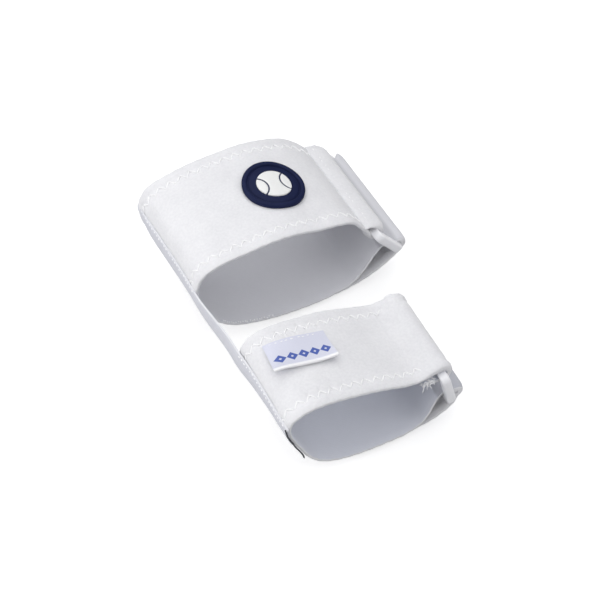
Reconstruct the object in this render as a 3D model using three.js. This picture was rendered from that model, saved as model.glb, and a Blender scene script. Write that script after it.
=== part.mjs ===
// Tennis elbow support: two soft arm cuffs joined down one side by an elastic link band.
// Each cuff is one laminated strap. One end is sewn round the upper bar of a flat plastic ring. The strap
// then runs over the top, down the side and along the bottom, passes out through the ring, turns round its
// lower bar and fastens back under itself with a hook patch. The large cuff carries a round rubber badge, the
// small one a folded label. The support lies on its side: +X runs from the link band to the rings, +Y along
// the arm from the small cuff to the large one, +Z up. Millimetres, origin at the middle of the base.

import * as THREE from "three";

// Driving dimensions
const STRAP_THICK = 2.2;
const LARGE_WIDTH = 62.5;
const SMALL_WIDTH = 50;
const CUFF_GAP = 38.4;
const OVERALL_LENGTH = LARGE_WIDTH + CUFF_GAP + SMALL_WIDTH;
const AIR_GAP = 0.3;

// Where the middle of the base lies in the x of the routes below
const BASE_MIDDLE_X = 0.95;

const RING = {
  bar: 2.7,
  thick: 3.4,
  side: 4.2,
  play: 0.6,
  slack: 0.7,
  bevel: 0.9,
  corner: 3.4,
  holeCorner: 0.5,
};
const RING_DRAW_IN = 1.2;
const WRAP_RADIUS = RING.bar / 2 + RING.slack + STRAP_THICK / 2;

const BADGE = { x: 1.7, z: 60, radius: 15, thick: 1.6, rimWidth: 2.3, rimHeight: 0.7 };
const EMBLEM = { radius: 8.2, thick: 0.7 };
const LABEL = { x: -28.9, z: 53.7, length: 31, height: 18, thick: 1.2, lift: 1.2, turn: -5 };
const LABEL_FROM_REAR_EDGE = 19.2;
const BAND = { width: 12.5, thick: 1, rearEnd: 4, rearTaper: 16, frontOverhang: 1 };
const BAND_UPPER_EDGE = { large: { x: -53.5, z: 47 }, small: { x: -48.7, z: 47.1 } };
const HOOK = { thick: 0.6, length: 24, edgeMargin: 7, endMargin: 4 };

// Facets: the most that one step of a strap may turn, in degrees, the longest step, the steps across it, and
// how finely its route is measured
const STEP_TURN = 13;
const STEP_LENGTH = 7;
const STEPS_ACROSS = 2;
const FINE_DIVISIONS = 3000;

const COLOURS = {
  whiteFabric: { color: 0xe9e9ec, roughness: 0.95, metalness: 0 },
  whitePlastic: { color: 0xf2f2f5, roughness: 0.35, metalness: 0 },
  navyRubber: { color: 0x1d2440, roughness: 0.55, metalness: 0 },
  whiteRubber: { color: 0xf0f1f0, roughness: 0.5, metalness: 0 },
  satin: { color: 0xdfe2f0, roughness: 0.4, metalness: 0 },
  elastic: { color: 0xdedfe8, roughness: 0.8, metalness: 0 },
  hookTape: { color: 0xdcdcdc, roughness: 0.7, metalness: 0 },
};

// Turns rows of values into objects with named columns. A column that a row leaves out is 0.
function table(columns, rows) {
  return rows.map((row) => Object.fromEntries(columns.map((name, i) => [name, row[i] ?? 0])));
}

// Routes of the two straps, as the middle of the cloth in the X-Z plane.
// frontDx and frontDz shift the strap's front edge, and the rear edge goes the other way by as much.
// dy slides the strap along the arm, and drawIn brings both its edges in towards its middle.
// Where it turns round a ring bar, angles are in degrees from +X towards +Z. A ring's bars are at x and z.
const COLUMNS = ["place", "x", "z", "frontDx", "frontDz", "dy", "drawIn"];

const LARGE_CUFF = {
  name: "large_cuff",
  width: LARGE_WIDTH,
  frontY: OVERALL_LENGTH / 2 - LARGE_WIDTH,
  ring: { skew: 1.1, upper: { x: 40.3, z: 37.9 }, lower: { x: 52, z: 22.3 } },
  anchorTurn: { x: 40.3, z: 37.9, from: 50, to: -152, frontDx: 1.1, frontDz: 0 },
  adjustTurn: { x: 53.4, z: 23, from: 105, to: -62, frontDx: 1.1, frontDz: -1 },
  sewnEnd: table(COLUMNS, [
    ["sewn end, on top", 35.8, 45.1, 1, 0, 0, 1.1],
    ["sewn end, middle", 39.1, 42.8, 1, 0, 0, 1.4],
  ]),
  loop: table(COLUMNS, [
    ["under the sewn end", 35.9, 39.9, 1, 0, 0, 1.3],
    ["seam", 33.3, 43.7, 1, 0, 0, 1],
    ["shoulder", 27.4, 50.9, 0.6, 1.1, 0, 0.5],
    ["top, right", 20.4, 54.9, 0, 0.3],
    ["top, badge", 10.7, 57.6, 0, -0.8],
    ["top, middle", -1.2, 60.4, 0, -0.4],
    ["top, crown", -13.5, 61.1],
    ["top, left", -27.5, 60.5, 0, -0.2],
    ["top, corner", -41.2, 58.5, 0, 0.6],
    ["corner", -49.6, 55, 0, 0.3],
    ["side, upper", -53.2, 48.6, 0.4],
    ["side, band", -53.6, 41.6, 0.8],
    ["side, lower", -52.2, 34, 0.8],
    ["side, foot", -48.4, 26.2, 0.4],
    ["bottom, corner", -42.2, 18.6],
    ["bottom, rising", -34.2, 12.4],
    ["bottom, left", -23.4, 8.4],
    ["bottom, middle", -10, 5.6],
    ["bottom, hook", 4, 4.6],
    ["bottom, right", 18, 5.2],
    ["leaving the floor", 28.2, 8.2],
    ["climb, lower", 34.4, 13.8, 0.2, 0, 0, 0.3],
    ["climb, upper", 39.4, 21, 0.5, 0, 0, 0.8],
    ["into the ring", 44.6, 26.5, 0.8, -0.4, 0, 1.1],
  ]),
  tail: table(COLUMNS, [
    ["tail, behind the ring", 50.8, 15.8, 0.8, -0.6, 0.3, 1.1],
    ["tail, slope", 44.6, 10.8, 0.4, -0.2, 0.8, 0.7],
    ["tail, low slope", 37, 6.2, 0, 0, 1.4, 0.3],
    ["tail, landing", 28, 2.7, 0, 0, 2],
    ["tail, touching", 22.6, 1.3, 0, 0, 2.4],
    ["tail, floor right", 18, 1.1, 0, 0, 2.7],
    ["tail, floor middle", 8, 1.1, 0, 0, 3.1],
    ["tail, floor left", -4, 1.1, 0, 0, 3.4],
    ["tail, end corners", -13.5, 1.1, 0, 0, 3.6],
    ["tail, end rounding", -16, 1.1, 0, 0, 3.6, 1],
    ["tail, end turning", -17.5, 1.1, 0, 0, 3.6, 2.9],
    ["tail end", -18, 1.1, 0, 0, 3.6, 5.4],
  ]),
};

const SMALL_CUFF = {
  name: "small_cuff",
  width: SMALL_WIDTH,
  frontY: -OVERALL_LENGTH / 2,
  ring: { skew: 0, upper: { x: 27.8, z: 38.4 }, lower: { x: 32.2, z: 19.4 } },
  anchorTurn: { x: 27.8, z: 38.4, from: -104, to: 76, frontDx: 0, frontDz: 0 },
  adjustTurn: { x: 36.9, z: 20.7, from: 105, to: -66, frontDx: -0.4, frontDz: -1 },
  sewnEnd: table(COLUMNS, [
    ["sewn end, inside", 18.2, 37.4, 0, 0, 0, 0.6],
    ["sewn end, middle", 22, 36.4, 0, 0, 0, 1],
  ]),
  loop: table(COLUMNS, [
    ["over the bar", 21.6, 41, 0, 0, 0, 1],
    ["seam", 16, 40.9, 0, 0, 0, 0.5],
    ["top, right", 8.4, 42.9],
    ["top, middle", -1.4, 46.9, 0, -0.2],
    ["top, slope", -10.6, 50.2, 0, -0.4],
    ["top, label", -22, 52.7],
    ["top, crown", -33.4, 54.3],
    ["corner", -42.6, 53.4],
    ["side, upper", -47.9, 49.6, -0.5],
    ["side, band", -49.4, 43.2, 0.2],
    ["side, middle", -48.1, 36, 1.1],
    ["side, lower", -44.8, 28, 1.2],
    ["side, foot", -40.4, 20.2, 0.4],
    ["bottom, corner", -33.8, 12.7],
    ["bottom, left", -24.6, 8],
    ["bottom, middle", -12, 5.6],
    ["bottom, hook", 0, 4.8],
    ["bottom, right", 10.4, 5.1],
    ["leaving the floor", 17.6, 8.1],
    ["climb, lower", 21.8, 13.2, 0, 0, 0, 0.3],
    ["climb, upper", 24.8, 19, 0, 0, 0, 0.8],
    ["into the ring", 28.8, 24.2, 0, -0.4, 0, 1.1],
  ]),
  tail: table(COLUMNS, [
    ["tail, behind the ring", 35.2, 14, 0, -0.6, 0.3, 1.1],
    ["tail, slope", 30.6, 9.8, 0, -0.2, 0.8, 0.7],
    ["tail, low slope", 24, 5.8, 0, 0, 1.4, 0.3],
    ["tail, landing", 16.4, 2.5, 0, 0, 2],
    ["tail, touching", 11.4, 1.3, 0, 0, 2.4],
    ["tail, floor right", 7, 1.1, 0, 0, 2.7],
    ["tail, floor middle", -1, 1.1, 0, 0, 3.1],
    ["tail, floor left", -9, 1.1, 0, 0, 3.4],
    ["tail, end corners", -16.5, 1.1, 0, 0, 3.6],
    ["tail, end rounding", -19, 1.1, 0, 0, 3.6, 1],
    ["tail, end turning", -20.5, 1.1, 0, 0, 3.6, 2.9],
    ["tail end", -21, 1.1, 0, 0, 3.6, 5.4],
  ]),
};

// Rows that follow a turn round a ring bar, one every WRAP_STEP degrees or so
const WRAP_STEP = 36;
function wrapRows(turn) {
  const steps = Math.ceil(Math.abs(turn.to - turn.from) / WRAP_STEP);
  return Array.from({ length: steps + 1 }, (_, i) => {
    const angle = THREE.MathUtils.degToRad(THREE.MathUtils.lerp(turn.from, turn.to, i / steps));
    return {
      x: turn.x + WRAP_RADIUS * Math.cos(angle),
      z: turn.z + WRAP_RADIUS * Math.sin(angle),
      frontDx: turn.frontDx,
      frontDz: turn.frontDz,
      dy: 0,
      drawIn: RING_DRAW_IN,
    };
  });
}

// A cuff's strap as a surface: place(along, across, height) is a point that far along the route from the
// sewn end, that far from the front edge, and that high above the middle of the cloth on the loop's outer side.
function strapSurface(cuff) {
  const rows = [
    ...cuff.sewnEnd,
    ...wrapRows(cuff.anchorTurn),
    ...cuff.loop,
    ...wrapRows(cuff.adjustTurn),
    ...cuff.tail,
  ];
  const edge = (side) => {
    const points = rows.map(
      (r) => new THREE.Vector3(r.x + side * r.frontDx, r.dy + side * r.drawIn, r.z + side * r.frontDz),
    );
    const curve = new THREE.CatmullRomCurve3(points, false, "centripetal");
    curve.arcLengthDivisions = FINE_DIVISIONS;
    return curve;
  };
  const front = edge(1);
  const rear = edge(-1);
  const length = (front.getLength() + rear.getLength()) / 2;
  const outward = (curve, share) => {
    const t = curve.getTangentAt(share);
    return new THREE.Vector3(t.z, 0, -t.x).normalize();
  };
  const place = (along, across, height) => {
    const share = THREE.MathUtils.clamp(along / length, 0, 1);
    const rearness = across / cuff.width;
    const point = front.getPointAt(share).lerp(rear.getPointAt(share), rearness);
    const normal = outward(front, share).lerp(outward(rear, share), rearness).normalize();
    point.y += cuff.frontY + across;
    return point.addScaledVector(normal, height);
  };
  return { length, place, outward: (along) => outward(front, along / length), width: cuff.width };
}

// Distances along a strap where its facets meet: closer together where it turns
function stationsOf(surface) {
  const FINE_STEP = 0.5;
  const most = THREE.MathUtils.degToRad(STEP_TURN);
  const stations = [0];
  for (let along = FINE_STEP; along < surface.length; along += FINE_STEP) {
    const last = stations.at(-1);
    const turned = surface.outward(last).angleTo(surface.outward(along));
    if (turned >= most || along - last >= STEP_LENGTH) stations.push(along);
  }
  if (surface.length - stations.at(-1) < FINE_STEP) stations.pop();
  return [...stations, surface.length];
}

// Moves each vertex of a flat geometry to where the function puts it
function reshape(geometry, move) {
  const position = geometry.getAttribute("position");
  for (let i = 0; i < position.count; i++) {
    const p = move(position.getX(i), position.getY(i), position.getZ(i));
    position.setXYZ(i, p.x, p.y, p.z);
  }
  return geometry;
}

// A flat slab whose x counts steps from 0, y runs from 0 to 1 and z from 0 to 1. On a strap its y runs from
// the rear edge to the front one, because the route goes towards -X over the top.
function unitSlab(steps, across) {
  const slab = new THREE.BoxGeometry(steps, 1, 1, steps, across, 1);
  return slab.translate(steps / 2, 0.5, 0.5);
}

// The distance along a strap, at the middle of its width, where its route passes nearest to a place
function alongNear(surface, { x, z }) {
  const FINE_STEP = 0.25;
  let nearest = { along: 0, distance: Infinity };
  for (let along = 0; along <= surface.length; along += FINE_STEP) {
    const p = surface.place(along, surface.width / 2, 0);
    const distance = Math.hypot(p.x - x, p.z - z);
    if (distance < nearest.distance) nearest = { along, distance };
  }
  return nearest.along;
}

function mesh(name, geometry, finish) {
  const made = new THREE.Mesh(geometry, new THREE.MeshStandardMaterial(COLOURS[finish]));
  made.name = name;
  return made;
}

// The strap itself, as thick as its laminate
function strap(cuff, surface) {
  const stations = stationsOf(surface);
  const flat = unitSlab(stations.length - 1, STEPS_ACROSS);
  const wrapped = reshape(flat, (step, across, up) =>
    surface.place(stations[Math.round(step)], (1 - across) * surface.width, (up - 0.5) * STRAP_THICK),
  );
  return mesh(cuff.name, wrapped, "whiteFabric");
}

// A rectangle with round corners, drawn round the origin
function roundedRectangle(path, sizeX, sizeY, radius) {
  const x = sizeX / 2;
  const y = sizeY / 2;
  path.moveTo(-x + radius, -y);
  path.lineTo(x - radius, -y);
  path.absarc(x - radius, -y + radius, radius, -Math.PI / 2, 0);
  path.lineTo(x, y - radius);
  path.absarc(x - radius, y - radius, radius, 0, Math.PI / 2);
  path.lineTo(-x + radius, y);
  path.absarc(-x + radius, y - radius, radius, Math.PI / 2, Math.PI);
  path.lineTo(-x, -y + radius);
  path.absarc(-x + radius, -y + radius, radius, Math.PI, Math.PI * 1.5);
  return path;
}

// The flat ring: the strap is sewn round its upper bar, turns loosely round its lower one and clears its sides
function ring(cuff) {
  const { upper: a, lower: b, skew } = cuff.ring;
  const pitch = Math.hypot(b.x - a.x, b.z - a.z);
  const holeY = cuff.width - 2 * RING_DRAW_IN + 2 * RING.play;
  const shape = roundedRectangle(new THREE.Shape(), pitch + RING.bar, holeY + 2 * RING.side, RING.corner);
  shape.holes.push(roundedRectangle(new THREE.Path(), pitch - RING.bar, holeY, RING.holeCorner));
  const geometry = new THREE.ExtrudeGeometry(shape, {
    depth: RING.thick - 2 * RING.bevel,
    bevelThickness: RING.bevel,
    bevelSize: RING.bevel,
    bevelOffset: -RING.bevel,
    bevelSegments: 1,
    curveSegments: 4,
  });
  geometry.translate(0, 0, -RING.thick / 2 + RING.bevel);
  const made = mesh(cuff.name.replace("cuff", "ring"), geometry, "whitePlastic");
  made.rotation.y = -Math.atan2(b.z - a.z, b.x - a.x);
  const turned = new THREE.Group();
  turned.position.set((a.x + b.x) / 2, cuff.frontY + cuff.width / 2, (a.z + b.z) / 2);
  turned.rotation.z = Math.atan2(2 * skew, cuff.width);
  return turned.add(made);
}

// The hook patch between the folded back tail and the strap above it
function hookPatch(cuff, surface) {
  const start = surface.length - HOOK.endMargin - HOOK.length;
  const STEPS = 6;
  const flat = unitSlab(STEPS, 1);
  const low = STRAP_THICK / 2 + AIR_GAP;
  const wrapped = reshape(flat, (step, across, up) =>
    surface.place(
      start + (step / STEPS) * HOOK.length,
      HOOK.edgeMargin + (1 - across) * (cuff.width - 2 * HOOK.edgeMargin),
      low + up * HOOK.thick,
    ),
  );
  return mesh(cuff.name.replace("cuff", "hook_patch"), wrapped, "hookTape");
}

// Lays a flat piece, centred on its own origin, on a strap's outer face
function layOn(surface, geometry, along, across, height) {
  return reshape(geometry, (x, y, z) => surface.place(along + x, across - y, height + z));
}

// The badge: a moulded rubber disc with a raised rim, bent to the strap it is sewn on
function badge(surface) {
  const field = BADGE.radius - BADGE.rimWidth;
  const top = BADGE.thick + BADGE.rimHeight;
  const RIM_SLOPE = 0.5;
  const profile = [
    [0, 0],
    [field / 3, 0],
    [(2 * field) / 3, 0],
    [field, 0],
    [BADGE.radius, 0],
    [BADGE.radius, top],
    [field + RIM_SLOPE, top],
    [field, BADGE.thick],
    [(2 * field) / 3, BADGE.thick],
    [field / 3, BADGE.thick],
    [0, BADGE.thick],
  ].map(([r, h]) => new THREE.Vector2(r, h));
  const ROUND_STEPS = 40;
  const disc = new THREE.LatheGeometry(profile, ROUND_STEPS).rotateX(Math.PI / 2);
  const along = alongNear(surface, BADGE);
  const low = STRAP_THICK / 2 + AIR_GAP;
  return mesh("badge", layOn(surface, disc, along, surface.width / 2, low), "navyRubber");
}

// The badge's raised device: a plain ball
function badgeEmblem(surface) {
  const profile = [
    [0, 0],
    [EMBLEM.radius / 2, 0],
    [EMBLEM.radius, 0],
    [EMBLEM.radius, EMBLEM.thick],
    [EMBLEM.radius / 2, EMBLEM.thick],
    [0, EMBLEM.thick],
  ].map(([r, h]) => new THREE.Vector2(r, h));
  const ROUND_STEPS = 32;
  const disc = new THREE.LatheGeometry(profile, ROUND_STEPS).rotateX(Math.PI / 2);
  const low = STRAP_THICK / 2 + AIR_GAP + BADGE.thick + AIR_GAP;
  const along = alongNear(surface, BADGE);
  return mesh("badge_emblem", layOn(surface, disc, along, surface.width / 2, low), "whiteRubber");
}

// The folded label: sewn down along its rear edge, its folded front edge standing off the strap
function label(surface) {
  const STEPS_LONG = 10;
  const STEPS_HIGH = 3;
  const flat = new THREE.BoxGeometry(LABEL.length, LABEL.height, LABEL.thick, STEPS_LONG, STEPS_HIGH, 1);
  flat.translate(0, 0, LABEL.thick / 2);
  reshape(flat, (x, y, z) => new THREE.Vector3(x, y, z + LABEL.lift * (0.5 + y / LABEL.height)));
  flat.rotateZ(THREE.MathUtils.degToRad(LABEL.turn));
  const low = STRAP_THICK / 2 + AIR_GAP;
  const wrapped = layOn(surface, flat, alongNear(surface, LABEL), surface.width - LABEL_FROM_REAR_EDGE, low);
  return mesh("label", wrapped, "satin");
}

// The elastic link band: it lies along the side of both cuffs and spans the gap between them
function linkBand(large, small, largeSurface, smallSurface) {
  const largeStart = alongNear(largeSurface, BAND_UPPER_EDGE.large);
  const smallStart = alongNear(smallSurface, BAND_UPPER_EDGE.small);
  const low = STRAP_THICK / 2 + AIR_GAP;
  const onCuff = (surface, start, down, across, up) =>
    surface.place(start + down, across, low + up * BAND.thick);
  const ends = {
    rear: large.frontY + large.width,
    largeFront: large.frontY,
    smallRear: small.frontY + small.width,
    front: small.frontY - BAND.frontOverhang,
  };
  const STEPS = 20;
  const STEPS_DOWN = 4;
  const flat = unitSlab(STEPS, STEPS_DOWN);
  const wrapped = reshape(flat, (step, down, up) => {
    const y = THREE.MathUtils.lerp(ends.front, ends.rear, step / STEPS);
    const fromRear = ends.rear - y;
    const taper = THREE.MathUtils.clamp(fromRear / BAND.rearTaper, 0, 1);
    const depth = down * THREE.MathUtils.lerp(BAND.rearEnd, BAND.width, taper);
    if (y >= ends.largeFront) return onCuff(largeSurface, largeStart, depth, y - large.frontY, up);
    if (y <= ends.smallRear) return onCuff(smallSurface, smallStart, depth, y - small.frontY, up);
    const a = onCuff(largeSurface, largeStart, depth, 0, up);
    const b = onCuff(smallSurface, smallStart, depth, small.width, up);
    const share = (ends.largeFront - y) / (ends.largeFront - ends.smallRear);
    return a.lerp(b, share).setY(y);
  });
  return mesh("link_band", wrapped, "elastic");
}

const largeSurface = strapSurface(LARGE_CUFF);
const smallSurface = strapSurface(SMALL_CUFF);

const support = new THREE.Group();
support.position.x = -BASE_MIDDLE_X;
for (const [cuff, surface] of [
  [LARGE_CUFF, largeSurface],
  [SMALL_CUFF, smallSurface],
]) {
  support.add(strap(cuff, surface), ring(cuff), hookPatch(cuff, surface));
}
support.add(badge(largeSurface), badgeEmblem(largeSurface), label(smallSurface));
support.add(linkBand(LARGE_CUFF, SMALL_CUFF, largeSurface, smallSurface));

export default support;
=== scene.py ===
import math
from collections import namedtuple
from types import SimpleNamespace

import bpy
import numpy as np
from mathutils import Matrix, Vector, noise


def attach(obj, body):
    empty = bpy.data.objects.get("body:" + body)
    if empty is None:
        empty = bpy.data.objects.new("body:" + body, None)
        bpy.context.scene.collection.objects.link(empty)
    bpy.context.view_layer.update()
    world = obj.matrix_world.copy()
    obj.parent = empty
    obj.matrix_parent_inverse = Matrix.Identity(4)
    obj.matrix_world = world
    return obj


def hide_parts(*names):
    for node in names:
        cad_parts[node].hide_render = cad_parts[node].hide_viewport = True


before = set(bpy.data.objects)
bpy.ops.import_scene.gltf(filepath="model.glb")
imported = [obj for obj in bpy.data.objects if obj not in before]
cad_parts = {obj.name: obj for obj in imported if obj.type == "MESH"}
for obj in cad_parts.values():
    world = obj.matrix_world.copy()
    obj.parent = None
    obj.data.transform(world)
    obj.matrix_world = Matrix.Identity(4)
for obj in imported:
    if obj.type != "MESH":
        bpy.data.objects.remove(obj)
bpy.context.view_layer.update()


# The straps of the two cuffs
# Each is one strip of soft laminate: brushed loop cloth outside, a knitted lining inside and foam between.
# It is cut flat, the cloth is rolled over its long edges and stitched down, and then it is bent into a cuff.
MM = 0.001
STRAP_THICK = 2.2
LARGE_WIDTH = 62.5
SMALL_WIDTH = 50.0
LARGE_FRONT_Y = 12.95
SMALL_FRONT_Y = -75.45

# The routes, in millimetres: the middle of the cloth in x and z, how far the front edge shifts from it while
# the rear edge goes the other way, how far the strap slides along the arm, how far both edges are drawn in.
Row = namedtuple("Row", "place x z front_dx front_dz slide draw_in", defaults=(0, 0, 0, 0))
# A turn round a ring bar, from one angle to the other, in degrees from +X towards +Z.
Turn = namedtuple("Turn", "x z start stop front_dx front_dz")
TURN_RADIUS = 3.15
TURN_DRAW_IN = 1.2
TURN_STEP = 36
# Where the middle of the base lies in the x of the routes
BASE_MIDDLE_X = 0.95


def floor_tail(right, middle, left, corners):
    """The rows of a tail that lie on the floor: it slides back a little, and its end has round corners."""
    return [
        Row("tail, floor right", right, 1.1, 0, 0, 2.7),
        Row("tail, floor middle", middle, 1.1, 0, 0, 3.1),
        Row("tail, floor left", left, 1.1, 0, 0, 3.4),
        Row("tail, end corners", corners, 1.1, 0, 0, 3.6),
        Row("tail, end rounding", corners - 2.5, 1.1, 0, 0, 3.6, 1),
        Row("tail, end turning", corners - 4, 1.1, 0, 0, 3.6, 2.9),
        Row("tail end", corners - 4.5, 1.1, 0, 0, 3.6, 5.4),
    ]


LARGE_ANCHOR = Turn(40.3, 37.9, 50, -152, 1.1, 0)
LARGE_ADJUST = Turn(53.4, 23, 105, -62, 1.6, -1)
LARGE_SEWN_END = [
    Row("sewn end, on top", 35.8, 45.1, 1, 0, 0, 1.1),
    Row("sewn end, middle", 39.1, 42.8, 1, 0, 0, 1.4),
]
LARGE_LOOP = [
    Row("under the sewn end", 35.9, 39.9, 1, 0, 0, 1.3),
    Row("seam", 33.3, 43.7, 1, 0, 0, 1),
    Row("shoulder", 27.4, 50.9, 0.6, 1.1, 0, 0.5),
    Row("top, right", 20.4, 54.9, 0, 0.3),
    Row("top, badge", 10.7, 57.6, 0, -0.8),
    Row("top, middle", -1.2, 60.4, 0, -0.4),
    Row("top, crown", -13.5, 61.1),
    Row("top, left", -27.5, 60.5, 0, -0.2),
    Row("top, corner", -41.2, 58.5, 0, 0.6),
    Row("corner", -49.6, 55, 0, 0.3),
    Row("side, upper", -53.2, 48.6, 0.4),
    Row("side, band", -53.6, 41.6, 0.8),
    Row("side, lower", -52.2, 34, 0.8),
    Row("side, foot", -48.4, 26.2, 0.4),
    Row("bottom, corner", -42.2, 18.6),
    Row("bottom, rising", -34.2, 12.4),
    Row("bottom, left", -23.4, 8.4),
    Row("bottom, middle", -10, 5.6),
    Row("bottom, hook", 4, 4.6),
    Row("bottom, right", 18, 5.2),
    Row("leaving the floor", 28.2, 8.2),
    Row("climb, lower", 34.4, 13.8, 0.2, 0, 0, 0.3),
    Row("climb, upper", 39.4, 21, 0.5, 0, 0, 0.8),
    Row("into the ring", 44.6, 26.5, 0.8, -0.4, 0, 1.1),
]
LARGE_TAIL = [
    Row("tail, behind the ring", 50.8, 15.8, 0.8, -0.6, -0.1, 0.9),
    Row("tail, slope", 44.6, 10.8, 0.4, -0.2, 0.3, 0.5),
    Row("tail, low slope", 37, 6.2, 0, 0, 1, 0.2),
    Row("tail, landing", 28, 2.7, 0, 0, 2),
    Row("tail, touching", 22.6, 1.3, 0, 0, 2.4),
    *floor_tail(18, 8, -4, -13.5),
]

SMALL_ANCHOR = Turn(27.8, 38.4, -104, 76, 0, 0)
SMALL_ADJUST = Turn(36.5, 20.7, 105, -66, 0.2, -1)
SMALL_SEWN_END = [
    Row("sewn end, inside", 18.2, 37.4, 0, 0, 0, 0.6),
    Row("sewn end, middle", 22, 36.4, 0, 0, 0, 1),
]
SMALL_LOOP = [
    Row("over the bar", 21.6, 41, 0, 0, 0, 1),
    Row("seam", 16, 40.9, 0, 0, 0, 0.5),
    Row("top, right", 8.4, 42.9),
    Row("top, middle", -1.4, 46.9, 0, -0.2),
    Row("top, slope", -10.6, 50.2, 0, -0.4),
    Row("top, label", -22, 52.7),
    Row("top, crown", -33.4, 54.3),
    Row("corner", -42.6, 53.4),
    Row("side, upper", -47.9, 49.6, -0.5),
    Row("side, band", -49.4, 43.2, 0.2),
    Row("side, middle", -48.1, 36, 1.1),
    Row("side, lower", -44.8, 28, 1.2),
    Row("side, foot", -40.4, 20.2, 0.4),
    Row("bottom, corner", -33.8, 12.7),
    Row("bottom, left", -24.6, 8),
    Row("bottom, middle", -12, 5.6),
    Row("bottom, hook", 0, 4.8),
    Row("bottom, right", 10.4, 5.1),
    Row("leaving the floor", 17.6, 8.1),
    Row("climb, lower", 21.8, 13.2, 0, 0, 0, 0.3),
    Row("climb, upper", 24.8, 19, 0, 0, 0, 0.8),
    Row("into the ring", 28.8, 24.2, 0, -0.4, 0, 1.1),
]
SMALL_TAIL = [
    Row("tail, behind the ring", 35.2, 14, 0, -0.6, -0.2, 0.7),
    Row("tail, slope", 30.6, 9.8, 0, -0.2, 0.2, 0.3),
    Row("tail, low slope", 24, 5.8, 0, 0, 0.9, 0),
    Row("tail, landing", 16.4, 2.5, 0, 0, 2),
    Row("tail, touching", 11.4, 1.3, 0, 0, 2.4),
    *floor_tail(7, -1, -9, -16.5),
]


def round_bar(turn):
    """The rows that take a strap round one bar of its ring."""
    rows = []
    steps = math.ceil(abs(turn.stop - turn.start) / TURN_STEP)
    for angle in np.radians(np.linspace(turn.start, turn.stop, steps + 1)):
        x = turn.x + TURN_RADIUS * math.cos(angle)
        z = turn.z + TURN_RADIUS * math.sin(angle)
        rows.append(Row("turn", x, z, turn.front_dx, turn.front_dz, 0, TURN_DRAW_IN))
    return rows


ROUTE_STEPS = 6000
CURVE_STEPS = 80


def edge_line(points):
    """A smooth line through a strap edge's points, as places evenly spaced along it, and its length."""
    ends = np.vstack([2 * points[0] - points[1], points, 2 * points[-1] - points[-2]])
    share = np.linspace(0, 1, CURVE_STEPS, endpoint=False)[:, None]
    runs = []
    for a, b, c, d in zip(ends, ends[1:], ends[2:], ends[3:]):
        ab, bc, cd = (math.sqrt(np.linalg.norm(step)) for step in (b - a, c - b, d - c))
        leave = ((b - a) / ab - (c - a) / (ab + bc) + (c - b) / bc) * bc
        reach = ((c - b) / bc - (d - b) / (bc + cd) + (d - c) / cd) * bc
        bend = 3 * (c - b) - 2 * leave - reach
        twist = 2 * (b - c) + leave + reach
        runs.append(b + leave * share + bend * share**2 + twist * share**3)
    line = np.vstack([*runs, points[-1:]])
    run = np.concatenate([[0], np.cumsum(np.linalg.norm(np.diff(line, axis=0), axis=1))])
    even = np.linspace(0, run[-1], ROUTE_STEPS + 1)
    return np.stack([np.interp(even, run, column) for column in line.T], axis=1), run[-1]


# The slack cloth between the seam and the floor waves a little
WAVE_ALONG = 36
WAVE_ACROSS = 30
WAVE_HEIGHT = 0.75
WAVE_EASE = 22


def bent_strap(rows, width, front_y, seed):
    """A strap's bent shape. Its place(x, y, z) takes points of the flat strap, in millimetres from its sewn
    end, from its rear edge and above the middle of its cloth, to where they lie on the finished cuff."""
    lines = {}
    for side in (1, -1):
        points = [
            (r.x + side * r.front_dx, r.slide + side * r.draw_in, r.z + side * r.front_dz) for r in rows
        ]
        line, long = edge_line(np.array(points))
        along = np.gradient(line, axis=0)
        out = np.stack([along[:, 2], np.zeros(len(along)), -along[:, 0]], axis=1)
        lines[side] = (line, out / np.linalg.norm(out, axis=1)[:, None], long)
    length = (lines[1][2] + lines[-1][2]) / 2

    def near(x, z):
        middle = (lines[1][0] + lines[-1][0]) / 2
        return float(np.argmin(np.hypot(middle[:, 0] - x, middle[:, 2] - z)) / ROUTE_STEPS * length)

    names = {r.place: near(r.x, r.z) for r in rows}
    free_from, free_to = names["seam"], names["leaving the floor"]

    def place(x, y, z):
        at = np.clip(x / length, 0, 1) * ROUTE_STEPS
        low = np.minimum(at.astype(int), ROUTE_STEPS - 1)
        part = (at - low)[:, None]
        rear = ((width - y) / width)[:, None]
        found = []
        for values in (0, 1):
            on_front = lines[1][values][low] * (1 - part) + lines[1][values][low + 1] * part
            on_rear = lines[-1][values][low] * (1 - part) + lines[-1][values][low + 1] * part
            found.append(on_front * (1 - rear) + on_rear * rear)
        point, out = found
        point += np.stack([np.full_like(y, -BASE_MIDDLE_X), front_y + width - y, np.zeros_like(y)], axis=1)
        free = np.clip(np.minimum(x - free_from, free_to - x) / WAVE_EASE, 0, 1)
        spots = zip(x / WAVE_ALONG, y / WAVE_ACROSS)
        wave = np.array([noise.noise(Vector((a, b, seed))) for a, b in spots])
        height = z + WAVE_HEIGHT * free * wave
        return point + out / np.linalg.norm(out, axis=1)[:, None] * height[:, None]

    return SimpleNamespace(length=length, width=width, front_y=front_y, near=near, at=names, place=place)


large = bent_strap(
    LARGE_SEWN_END + round_bar(LARGE_ANCHOR) + LARGE_LOOP + round_bar(LARGE_ADJUST) + LARGE_TAIL,
    LARGE_WIDTH,
    LARGE_FRONT_Y,
    seed=2.3,
)
small = bent_strap(
    SMALL_SEWN_END + round_bar(SMALL_ANCHOR) + SMALL_LOOP + round_bar(SMALL_ADJUST) + SMALL_TAIL,
    SMALL_WIDTH,
    SMALL_FRONT_Y,
    seed=7.9,
)

# The stitch row along both edges: a zigzag so far in from the edge, so far to each side, at this pitch
EDGE_ROW = 6.05
EDGE_ROW_HALF = 1.55
EDGE_PITCH = 5.6
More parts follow.
